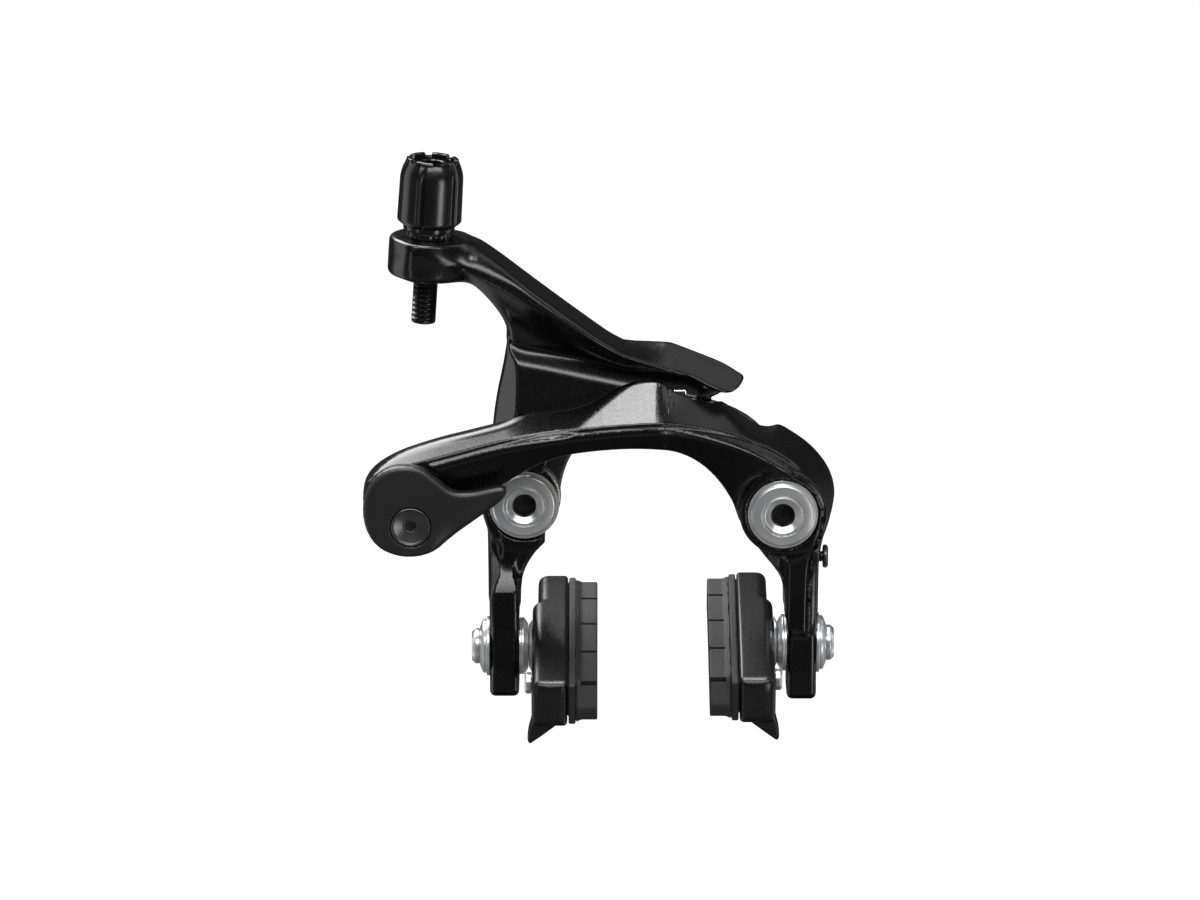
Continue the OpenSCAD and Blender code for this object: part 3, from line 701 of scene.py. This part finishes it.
pin = (0, box_mm("roller_pin")[1].y, ROLLER.z)
turned("roller_pin_turned", pin, FRONT,
       [(0, 0), (2.9, 0), (2.9, 0.8), (2, 0.8), (2, 13.4), (0, 13.4)],
       "front_arm", "steel", "roller_pin")
turned("link_roller_turned", (0, box_mm("link_roller")[1].y, ROLLER.z), FRONT,
       [(2.05, 0), (3.5, 0), (4, 0.5), (4, 7.8), (3.5, 8.3), (2.05, 8.3)],
       "link_roller", "steel", "link_roller", closed=True)


def wear_field(x, y, z):
    block = box_field((1.5, -8.9, 26.2), (6.5, 4.7, 2.3), 0.4, x, y, z)
    return smax(block, -(np.hypot(x, z) - CAM_R), 0.25)


sculpted("wear_pad_ground", wear_field, (-6, -14.5, 23), (9, -3.5, 29.5), 0.35,
         "rear_arm", "steel", "wear_pad")

screw = place("centring_screw_turn")
screw = (box_mm("centring_screw")[0].x, screw.y, screw.z)
thread = rings_of([(0, 0), (1.1, 0)]) + thread_rings(1.5, 0.3, 0.5, 0, 5.6)
cap = rings_of(softened([(1.2, 5.9), (2.5, 5.9), (2.8, 6.2), (2.8, 6.8), (2.3, 7.2), (1, 7.2, 1),
                         (1, 6.3, 1), (0, 6.3)], 0.1))
add_object("centring_screw_turned", ring_mesh("centring_screw", screw, (1, 0, 0), thread + cap),
           "centring_screw", "black_steel", "centring_screw")

# ---- Cable adjuster ------------------------------------------------------------------

BARREL_LEN, BARREL_FOOT = 17.3, 1.75
BARREL_ANGLE = np.arange(288) * 2 * np.pi / 288
# Angle of the first groove between two lobes, and the angle across half a lobe.
GROOVE, LOBE = math.radians(-13.4), math.radians(30)


def barrel_ring(h, r, grooved=1.0):
    """One level of the barrel: six broad lobes between narrow grooves with raised lips."""
    away = np.abs((BARREL_ANGLE - GROOVE + LOBE) % (2 * LOBE) - LOBE)
    groove = np.clip(1 - away / 0.085, 0, 1) ** 0.8
    lobe = 0.22 * (1 - away / LOBE) ** 2 - 0.1 * np.exp(-(((away - 0.13) / 0.05) ** 2))
    return r - grooved * (0.85 * groove + 0.22 - lobe - 0.1), h + 0 * BARREL_ANGLE


def notched(r, top, low):
    """A ring of the castellated rim: its height drops at six notches."""
    away = np.abs((BARREL_ANGLE - math.radians(12) + LOBE) % (2 * LOBE) - LOBE)
    return r + 0 * BARREL_ANGLE, top - low * np.clip((0.17 - away) / 0.03, 0, 1)


levels = [(0, 5.9, 0), (0.15, 6.15, 0), (1.0, 6.2, 0), (1.15, 6.5, 0.4), (1.9, 7.5, 0.9),
          (2.15, 7.7, 1), (2.6, 7.75, 1)]
levels += [(h, 7.75 - 0.015 * (h - 2.6), 1) for h in np.linspace(3.6, 12, 9)]
levels += [(12 + 4.5 * t, 7.6 - 1.2 * t**2, 1 - 0.5 * t) for t in np.linspace(0.08, 1, 12)]
rings = [barrel_ring(*level) for level in levels]
rings += [notched(r, top, low) for r, top, low in (
    (6.3, 16.8, 0.5), (6.2, 17.15, 0.8), (6.0, BARREL_LEN, 0.9), (5.2, BARREL_LEN, 0.9),
    (5.0, 17.1, 0.8))]
rings += [(r + 0 * BARREL_ANGLE, h + 0 * BARREL_ANGLE) for r, h in (
    (4.95, 15.4), (4.8, 15.3), (3.55, 15.3), (3.5, 15.2), (3.5, 0))]
add_object(
    "adjuster_barrel_moulded",
    ring_mesh("adjuster_barrel", ADJUSTER + ADJUSTER_AXIS * BARREL_FOOT, ADJUSTER_AXIS, rings, True, 40),
    "adjuster_barrel", "black_plastic", "adjuster_barrel",
)
click = np.clip(np.cos(18 * ANGLE) * 3, -1, 1)
rings = [(r + notch * click, h + 0 * ANGLE) for r, h, notch in (
    (5.5, 0, 0), (5.8, 0.1, 0), (5.85, 0.3, 0.1), (5.85, 1.2, 0.1), (5.7, 1.55, 0.1), (5.4, 1.6, 0),
    (3.6, 1.6, 0), (3.6, 0, 0))]
add_object("detent_collar_moulded", ring_mesh("detent_collar", ADJUSTER, ADJUSTER_AXIS, rings, True),
           "rear_arm", "black_plastic", "detent_collar")

STUD_FOOT, STUD_TOP, STUD_FLAT = -21.4, 18.05, 2.9
rings = rings_of([(0.95, STUD_FOOT), (2.2, STUD_FOOT), (2.7, STUD_FOOT + 0.15)])
for r, h in thread_rings(3.45, 0.62, 1.2, STUD_FOOT + 0.3, STUD_TOP - 0.3):
    flat = STUD_FLAT / np.maximum(np.abs(np.sin(ANGLE)), 0.1)
    rings.append((np.where(h < 8.5, np.minimum(r, flat), r), h))
rings += rings_of([(3.1, STUD_TOP), (2.75, STUD_TOP), (2.55, STUD_TOP - 0.2),
                   (2.55, STUD_TOP - 7.9), (2.45, STUD_TOP - 8), (0.95, STUD_TOP - 8)])
add_object("adjuster_stud_threaded",
           ring_mesh("adjuster_stud", ADJUSTER, ADJUSTER_AXIS, rings, True),
           "adjuster_stud", "black_aluminium", "adjuster_stud")

# ---- Quick release ---------------------------------------------------------------------

LEVER_OUTLINE = corner_cut([
    (-69.6, 0), (-69, 8), (-64, 13.6), (-56, 14), (-51.6, 10.4), (-48, 7.2), (-43, 7.2),
    (-38, 8.5), (-35, 8.6), (-35.2, 5.6), (-41, 1.2), (-48, -4), (-53, -8.2), (-60, -9.2),
    (-66.5, -6.5),
])
# Radii of the dish for the cap screw and of the hole under it.
DISH_R, HUB_R = 4.95, 2.5
# Line along the lever's tail, below which its face turns down.
TAIL_CREST = np.array([(-54, -1.5, 0), (-35, 8.4, 0)])


def lever_field(x, y, z):
    outline = polygon_field(x, z, LEVER_OUTLINE)
    side, _ = rail_field(x, z, TAIL_CREST[:, :2], TAIL_CREST[:, 2:])
    r = np.hypot(x - RELEASE.x, z - RELEASE.z)
    tail = ease(x, [-54, -46], [0, 1])
    front = LEVER_FRONT + 0.3 * tail * smax(-side, 0 * side, 0.6) + 0.012 * r
    lever = smax(smax(outline, (front - y) / 1.03, 1.5), y - LEVER_BACK, 0.3)
    dish = np.maximum(r - DISH_R, y - LEVER_FRONT - 0.55)
    cone = np.maximum(r - HUB_R - 1.05 * np.maximum(LEVER_BACK - 1 - y, 0), r - DISH_R)
    return smax(smax(lever, -dish, 0.25), -np.minimum(cone, r - HUB_R), 0.25)


sculpted("release_lever_forged", lever_field, (-71, -30, -10.5), (-33.5, -25.5, 15), 0.32,
         "quick_release", "satin_black", "release_lever")
turned("lever_cap_screw_turned", (RELEASE.x, -22, RELEASE.z), FRONT,
       [(0, 0), (2.4, 0), (2.4, 4.9), (4.5, 6.9), (4.7, 7.15), (4.4, 7.3), (4.05, 6.95),
        (1.9, 6.3), (1.45, 6.3), (1.25, 6.15, 1), (1.25, 4.4, 1), (0, 4.4)],
       "quick_release", "black_steel", "lever_cap_screw", soft=0.1)
turned("release_bush_turned", (RELEASE.x, -17.3, RELEASE.z), FRONT,
       [(4.05, 0), (RELEASE_BORE, 0), (RELEASE_BORE, 8.6), (4.05, 8.6)],
       "front_arm", "bronze", "release_bush", closed=True)
turned("release_spindle_turned", (RELEASE.x, -14.4, RELEASE.z), FRONT,
       [(0, 0), (6.4, 0), (6.4, 2.6), (4, 2.6), (4, 11.6), (2.45, 11.6), (2.45, 9), (0, 9)],
       "quick_release", "steel", "release_spindle")
anchor = Vector((RELEASE.x, -12.4, RELEASE.z + 3))
turned("spindle_throw", anchor, FRONT, [(0, 0), (5, 0), (5, 2), (0, 2)], "quick_release", "steel")


def clamp_field(x, y, z):
    plate = box_field((anchor.x, anchor.y + 1, anchor.z), (5, 1, 5), 0.5, x, y, z)
    plate = smax(plate, -(np.hypot(x - anchor.x, z - anchor.z) - 2.6), 0.2)
    return smax(plate, -(np.hypot(x - anchor.x - 3.5, y - anchor.y) - 0.8), 0.2)


sculpted("clamp_plate_pressed", clamp_field, (-64, -13.5, -4.5), (-52, -9.5, 8), 0.25,
         "quick_release", "washer_steel", "clamp_plate")
turned("anchor_bolt_turned", (anchor.x, -16.8, anchor.z), -FRONT,
       [(0, 0), (2.4, 0), (2.4, 6.45), (4.4, 6.45), (4.4, 10.8), (4, 11.2), (2.3, 11.2),
        (2, 11, 1), (2, 8.2, 1), (0, 8.2)],
       "quick_release", "bolt_steel", "anchor_bolt")

# ---- Brake shoes -------------------------------------------------------------------------

HOLDER_IN, HOLDER_OUT, HOLDER_STEP, HOLDER_HALF = 20.6, 27.9, 1.3, 27.5
PAD_IN, PAD_OUT, PAD_HALF = box_mm("right_pad")[0].x, 20.35, 26.8
# Half heights of the holder and of the pad, and where the pad starts to flare.
HOLDER_RISE, PAD_RISE, FLARE_IN = 6.1, 4.1, 16.9
# Cooling grooves: one of them along the pad, their pitch and half their width.
PAD_GROOVE, PAD_PITCH, PAD_GROOVE_HALF = 17, 13.3, 0.4
FIN = corner_cut([(20.8, -3), (20.6, -5.4), (29, -12.4), (29.9, -12.7), (30.3, -11.2), (28.8, -5),
                  (27, -3)], 1)


def holder_field(x, y, z):
    """A pad holder, in the shoe's own axes: across, along the shoe and up."""
    up = z + y * y / (2 * RIM_R)
    step = ease(y, [-28.5, -26], [0, 1]) * ease(y, [10.5, 13], [1, 0])
    half = HOLDER_OUT + HOLDER_STEP * step
    middle = (HOLDER_IN + half) / 2
    outer_edge = ease(x, [21.5, 24], [0.8, 2.6])
    shell = smax(np.abs(x - middle) - (half - HOLDER_IN) / 2, np.abs(up) - HOLDER_RISE, outer_edge)
    shell = smax(shell, np.abs(y) - HOLDER_HALF, 2.4)
    fin = smax(polygon_field(x, z, FIN), np.abs(y + HOLDER_HALF - 4.2) - 2.4, 0.8)
    shell = smin(shell, fin, 0.5)
    # The pad slides in from behind, up to the closed front end.
    pocket = np.maximum(np.maximum(x - 21.6, np.abs(up) - PAD_RISE), -25.6 - y)
    return smax(shell, -pocket, 0.3)


def pad_field(x, y, z):
    """A pad, in the shoe's own axes."""
    up = z + y * y / (2 * RIM_R)
    flare = 1.2 * np.clip((x - FLARE_IN) / 1.9, 0, 1) ** 2
    block = smax(np.abs(x - (PAD_IN + PAD_OUT) / 2) - (PAD_OUT - PAD_IN) / 2,
                 np.abs(up) - PAD_RISE - flare, 0.4)
    block = smax(block, np.abs(y) - PAD_HALF, 0.5)
    nose = np.maximum(up - 3.4 - (y + 23.6) * 1.44, x - 18.6)
    block = smax(block, np.where(x < 18.7, nose / 1.75, -1), 0.5)
    # Cooling grooves across the braking face.
    slot = np.abs((y - PAD_GROOVE + PAD_PITCH / 2) % PAD_PITCH - PAD_PITCH / 2) - PAD_GROOVE_HALF
    slot = np.maximum(np.maximum(slot, x - 17.3), np.abs(y + 3) - 21)
    block = smax(block, -slot, 0.15)
    tongue = smax(np.abs(x - 20.8) - 0.7, np.abs(up) - 3.9, 0.3)
    return np.minimum(block, np.maximum(tongue, np.abs(y - 0.8) - 26))


def shoe_turn(side):
    """Where a shoe's own axes lie: turned nose-down and, on the left, mirrored."""
    mirror = Matrix.Diagonal((SIDES[side], 1, 1, 1))
    at = Matrix.Translation((0, SHOE_BOLT[side].y, SHOE_BOLT[side].z))
    return mirror @ at @ Matrix.Rotation(SHOE_TILT, 4, "X")


def shoe_mesh(name, skin, side):
    """Moves a sculpted skin from the shoe's own axes to one side of the frame."""
    points, faces, normals = skin
    turn = np.array(shoe_turn(side))
    points = points @ turn[:3, :3].T + turn[:3, 3]
    return mesh_from(name, points, faces[:, :: SIDES[side]], normals @ turn[:3, :3].T)


shoe_step = 0.34
holder = sculpt(holder_field, (19.5, -29, -14.5), (32, 29, 8), shoe_step)
pad = sculpt(pad_field, (12.5, -28, -9), (22.5, 28, 7), shoe_step)
for side, sign in SIDES.items():
    add_object(side + "_pad_holder_cast", shoe_mesh(side + "_holder", holder, side),
               side + "_shoe", "satin_black", side + "_pad_holder", finish_name="holder_black")
    add_object(side + "_pad_moulded", shoe_mesh(side + "_pad", pad, side),
               side + "_shoe", "pad_rubber", side + "_pad")
    bolt, out = SHOE_BOLT[side], (sign, 0, 0)

    def along(distance):
        """A point on the shoe bolt's axis."""
        return (sign * distance, bolt.y, bolt.z)

    turned(side + "_shoe_bolt_turned", along(24), out,
           [(0, 0), (3, 0), (3, 17.9), (4.3, 17.9), (4.3, 18.9), (3.5, 19.8), (2.4, 19.8),
            (2, 19.5, 1), (2, 16.6, 1), (0, 16.6)],
           side + "_shoe_clamp", "bolt_steel", side + "_shoe_bolt", soft=0.2)
    turned(side + "_outer_washers_pressed", along(LEG_OUT), out,
           [(3.05, 0), (7.2, 0), (7.2, 0.75), (6.5, 0.8), (6.6, 1.1), (6.4, 1.7), (4.6, 2.4),
            (3.05, 2.4)],
           side + "_shoe_clamp", "washer_steel", side + "_outer_washers", soft=0.15, closed=True)
    turned(side + "_cup_washer_pressed", along(LEG_IN - 2.15), out,
           [(3.05, 0), (5.4, 0), (6.6, 0.8), (6.9, 1.05), (6.9, 1.5), (6.7, 1.6), (6.9, 1.7),
            (6.9, 2.1), (3.05, 2.1)],
           side + "_shoe_clamp", "washer_steel", side + "_cup_washer", soft=0.1, closed=True)
    turned(side + "_dome_washer_turned", along(HOLDER_OUT + HOLDER_STEP + 0.05), out,
           [(3.1, 0), (6.4, 0), (5, 0.8), (3.1, 0.8)],
           side + "_shoe", "washer_steel", side + "_dome_washer", soft=0.1, closed=True)
    foot = shoe_turn(side) @ Vector((HOLDER_IN + 1.2, -18, 0))
    turned(side + "_pad_screw_turned", foot, out,
           [(0, 0), (1.45, 0), (1.45, 7.5), (2.6, 7.5), (2.6, 8.6), (2.1, 9.1), (1.2, 9.1),
            (1, 9, 1), (1, 8, 1), (0, 8)],
           side + "_shoe", "bolt_steel", side + "_pad_screw", soft=0.15)

# ---- Stage, lights and camera -------------------------------------------------------

# The caliper hangs on its mounting bolts, well above the floor.
FLOOR_Z = -0.25
bpy.ops.mesh.primitive_plane_add(size=12, location=(0, 0, FLOOR_Z))
floor = bpy.context.object
floor.name = "floor"
floor.data.materials.append(finish("floor_pale", grey(0.92), grey(0.94), 0.8, grain=4))
floor.visible_glossy = False

scene = bpy.context.scene
scene.view_settings.view_transform = "Standard"

# Glow of the mirrored surroundings, from straight down (0) through level (0.5) to up (1).
MIRRORED = ((0.05, 0.04), (0.18, 0.3), (0.34, 0.06), (0.6, 0.03))


def studio_world():
    """White light for matt surfaces and the background. What polished surfaces mirror is
    dark above and a little brighter below, as over a pale table in a black room."""
    world = bpy.data.worlds.new("studio")
    scene.world = world
    world.use_nodes = True
    tree = world.node_tree
    tree.nodes.clear()
    mirrored, white = (tree.nodes.new("ShaderNodeBackground") for _ in range(2))
    white.inputs["Color"].default_value = (1, 1, 1, 1)
    white.inputs["Strength"].default_value = 1.2
    where = tree.nodes.new("ShaderNodeTexCoord").outputs["Generated"]
    axes = tree.nodes.new("ShaderNodeSeparateXYZ")
    height = tree.nodes.new("ShaderNodeMapRange")
    height.inputs["From Min"].default_value = -1
    ramp = tree.nodes.new("ShaderNodeValToRGB")
    for _ in range(2):
        ramp.color_ramp.elements.new(0.5)
    for stop, (at, glow) in zip(ramp.color_ramp.elements, MIRRORED):
        stop.position, stop.color = at, (*grey(glow), 1)
    path, mix = tree.nodes.new("ShaderNodeLightPath"), tree.nodes.new("ShaderNodeMixShader")
    out = tree.nodes.new("ShaderNodeOutputWorld")
    tree.links.new(where, axes.inputs[0])
    tree.links.new(axes.outputs["Z"], height.inputs["Value"])
    tree.links.new(height.outputs[0], ramp.inputs[0])
    tree.links.new(ramp.outputs[0], mirrored.inputs["Color"])
    tree.links.new(path.outputs["Is Glossy Ray"], mix.inputs[0])
    tree.links.new(white.outputs[0], mix.inputs[1])
    tree.links.new(mirrored.outputs[0], mix.inputs[2])
    tree.links.new(mix.outputs[0], out.inputs[0])


# Point that the lights and the camera face, and their distances from it in metres.
CENTRE = Vector((-12.8, -14, 13.7)) * MM
LIGHT_REACH, CAMERA_REACH = 1.5, 1.6


def softbox(name, azimuth, elevation, wide, tall, glow):
    """A soft light seen from the caliper at an azimuth (0 in front, + to the right) and an
    elevation, so many degrees wide and tall, with a given glow on its face."""
    a, e = math.radians(azimuth), math.radians(elevation)
    back = Vector((math.sin(a) * math.cos(e), -math.cos(a) * math.cos(e), math.sin(e)))
    data = bpy.data.lights.new(name, "AREA")
    data.shape = "RECTANGLE"
    data.size, data.size_y = (2 * LIGHT_REACH * math.tan(math.radians(t / 2)) for t in (wide, tall))
    data.energy = glow * math.pi * data.size * data.size_y
    obj = bpy.data.objects.new(name, data)
    scene.collection.objects.link(obj)
    obj.location = CENTRE + back * LIGHT_REACH
    obj.rotation_mode = "QUATERNION"
    obj.rotation_quaternion = (-back).to_track_quat("-Z", "Y")
    obj.visible_diffuse = False


studio_world()
softbox("facet_box", 0, 88, 18, 26, 17)
softbox("panel_box", -140, 56, 44, 50, 10)
softbox("ridge_box", 0, 45, 70, 18, 8)
softbox("left_strip", -100, 5, 24, 90, 1.4)
softbox("right_strip", 100, 5, 20, 90, 1.6)
softbox("barrel_strip", 36, -12, 10, 34, 7)
softbox("barrel_edge", -52, -12, 5, 34, 3)
softbox("paddle_box", 130, 50, 30, 30, 0.6)

ELEVATION = math.radians(16)
camera = bpy.data.objects.new("camera", bpy.data.cameras.new("camera"))
scene.collection.objects.link(camera)
camera.data.sensor_width = 36
camera.data.lens = 200
back = Vector((0, -math.cos(ELEVATION), math.sin(ELEVATION)))
camera.location = CENTRE + back * CAMERA_REACH
camera.rotation_mode = "QUATERNION"
camera.rotation_quaternion = (-back).to_track_quat("-Z", "Y")
camera.data.clip_start, camera.data.clip_end = 0.05, 50
scene.camera = camera
